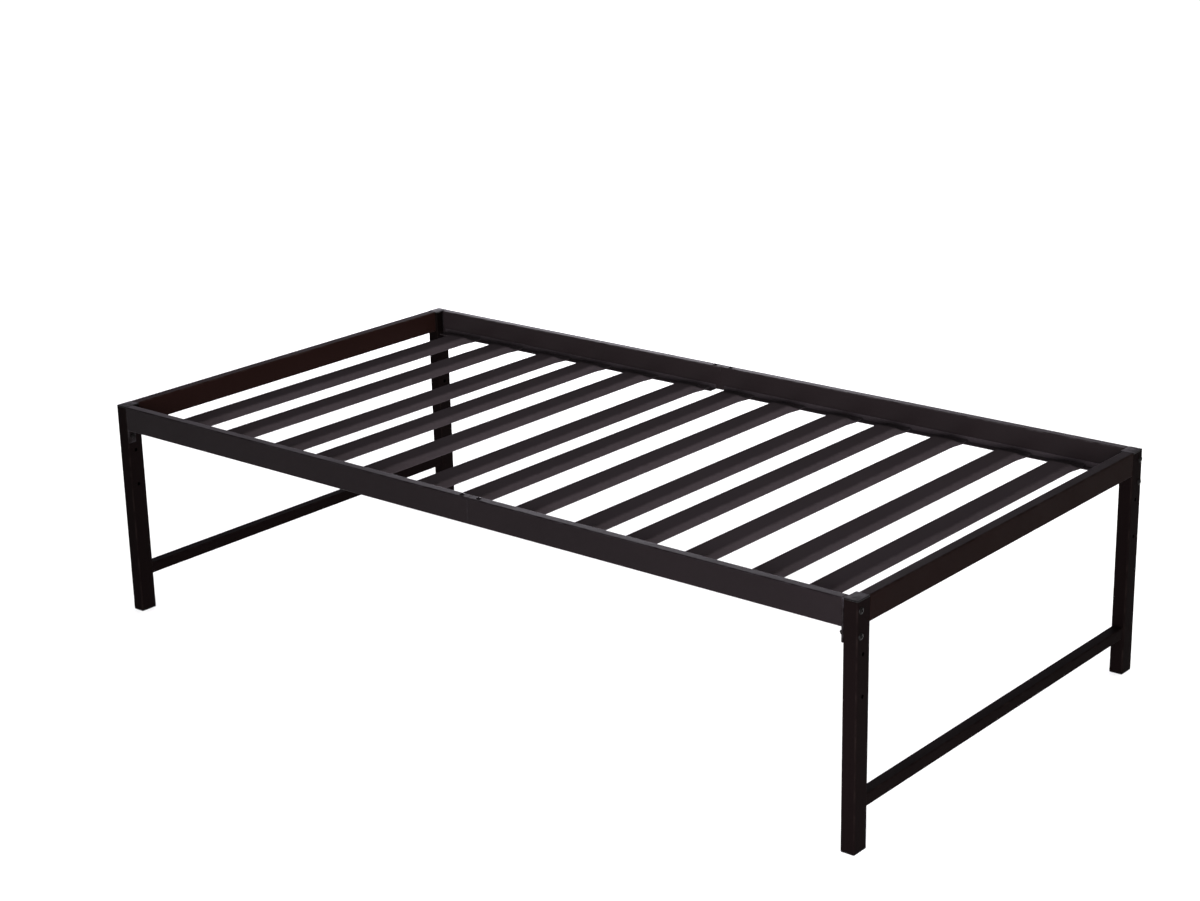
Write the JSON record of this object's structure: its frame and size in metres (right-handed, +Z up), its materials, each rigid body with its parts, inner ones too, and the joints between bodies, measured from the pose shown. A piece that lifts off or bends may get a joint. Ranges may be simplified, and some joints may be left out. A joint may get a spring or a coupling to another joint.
{
  "type": "metal platform bed frame",
  "caption": "Low black steel platform bed frame: square-tube legs, recessed tube slats between deep side rails, and a stretcher between the legs at each end.",
  "frame": {"origin": "on the floor, under the middle of the frame", "axes": "+X along the length, from the left end to the right end; +Y across the width, from the front side to the back; +Z up"},
  "size_m": [1.9668, 1.04, 0.4873],
  "materials": {
    "frame_coat": "satin black powder coat, slightly warm",
    "slat_coat": "satin charcoal powder coat, a little lighter than the frame",
    "plastic": "black moulded polyethylene, fine texture",
    "fastener": "black oxide steel, slightly glossy"
  },
  "bodies": {
    "root": {"leg_front_left": "frame_coat", "leg_front_right": "frame_coat", "leg_back_left": "frame_coat", "leg_back_right": "frame_coat", "foot_cap_front_left": "plastic", "foot_cap_front_right": "plastic", "foot_cap_back_left": "plastic", "foot_cap_back_right": "plastic", "top_cap_front_left": "plastic", "top_cap_front_right": "plastic", "top_cap_back_left": "plastic", "top_cap_back_right": "plastic", "end_rail_left": "frame_coat", "crossbar_left": "frame_coat", "end_rail_right": "frame_coat", "crossbar_right": "frame_coat", "side_rail_front_left": "frame_coat", "side_rail_front_right": "frame_coat", "side_rail_back_left": "frame_coat", "side_rail_back_right": "frame_coat", "slat_ledge_front_left": "slat_coat", "slat_ledge_front_right": "slat_coat", "slat_ledge_back_left": "slat_coat", "slat_ledge_back_right": "slat_coat", "rail_bracket_front_left": "frame_coat", "rail_bracket_front_right": "frame_coat", "rail_bracket_back_left": "frame_coat", "rail_bracket_back_right": "frame_coat", "joint_sleeve_front": "frame_coat", "joint_sleeve_back": "frame_coat", "joint_screw_front_left": "fastener", "joint_screw_front_right": "fastener", "joint_screw_back_left": "fastener", "joint_screw_back_right": "fastener", "bolt_upper_front_left": "fastener", "bolt_upper_front_right": "fastener", "bolt_upper_back_left": "fastener", "bolt_upper_back_right": "fastener", "bolt_lower_front_left": "fastener", "bolt_lower_front_right": "fastener", "bolt_lower_back_left": "fastener", "bolt_lower_back_right": "fastener", "nut_front_left": "fastener", "nut_front_right": "fastener", "nut_back_left": "fastener", "nut_back_right": "fastener", "slat_01": "slat_coat", "slat_02": "slat_coat", "slat_03": "slat_coat", "slat_04": "slat_coat", "slat_05": "slat_coat", "slat_06": "slat_coat", "slat_07": "slat_coat", "slat_08": "slat_coat", "slat_09": "slat_coat", "slat_10": "slat_coat", "slat_11": "slat_coat", "slat_12": "slat_coat", "slat_13": "slat_coat"}
  },
  "joints": []
}
